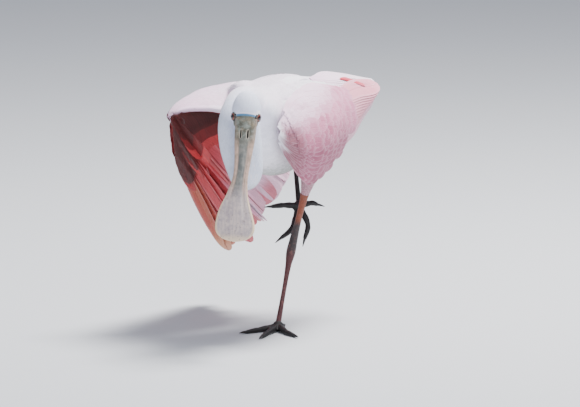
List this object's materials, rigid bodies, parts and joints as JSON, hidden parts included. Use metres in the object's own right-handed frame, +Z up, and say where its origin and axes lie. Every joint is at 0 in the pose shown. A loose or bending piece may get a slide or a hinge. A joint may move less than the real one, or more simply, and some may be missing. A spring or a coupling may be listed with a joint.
{
  "type": "roseate spoonbill",
  "caption": "Life-size wading bird with a spoon-shaped bill, stretching a wing and a leg back while it stands on one leg.",
  "frame": {"origin": "on the floor under the ankle of the standing left foot, at the height of its flat soles", "axes": "+Z up, the bird looks along -Y, its left side is on +X"},
  "size_m": [0.2889, 0.4798, 0.3471],
  "materials": {
    "white_plumage": "soft matt feathers, white with a faint pink",
    "pink_plumage": "soft matt feathers, pale pink",
    "rose_plumage": "soft matt feathers, rose",
    "bill": "horn, greyish and a little shiny",
    "eye": "wet orange-red iris with a dark pupil",
    "claw": "dark horn",
    "dark_leg": "dark scaly skin",
    "red_leg": "maroon scaly skin"
  },
  "bodies": {
    "root": {"torso": "white_plumage", "neck_base": "white_plumage", "neck_bend": "white_plumage", "neck_upper": "white_plumage", "bill_upper": "bill", "bill_lower": "bill", "eye_right": "eye", "eye_left": "eye", "head": "white_plumage", "thigh_left": "white_plumage", "shin_left": "red_leg", "tarsus_left": "red_leg", "thigh_right": "white_plumage", "shin_right": "red_leg", "tarsus_right": "dark_leg", "claw_left_inner": "claw", "claw_left_middle": "claw", "claw_left_outer": "claw", "claw_left_back": "claw", "foot_left": "dark_leg", "tail": "pink_plumage", "claw_right_inner": "claw", "claw_right_middle": "claw", "claw_right_outer": "claw", "claw_right_back": "claw", "foot_right": "dark_leg", "wing_left_hand": "pink_plumage", "wing_left_forearm": "rose_plumage", "wing_left_arm": "white_plumage", "wing_right_hand": "rose_plumage", "wing_right_arm": "white_plumage", "wing_right_forearm": "rose_plumage"}
  },
  "joints": []
}
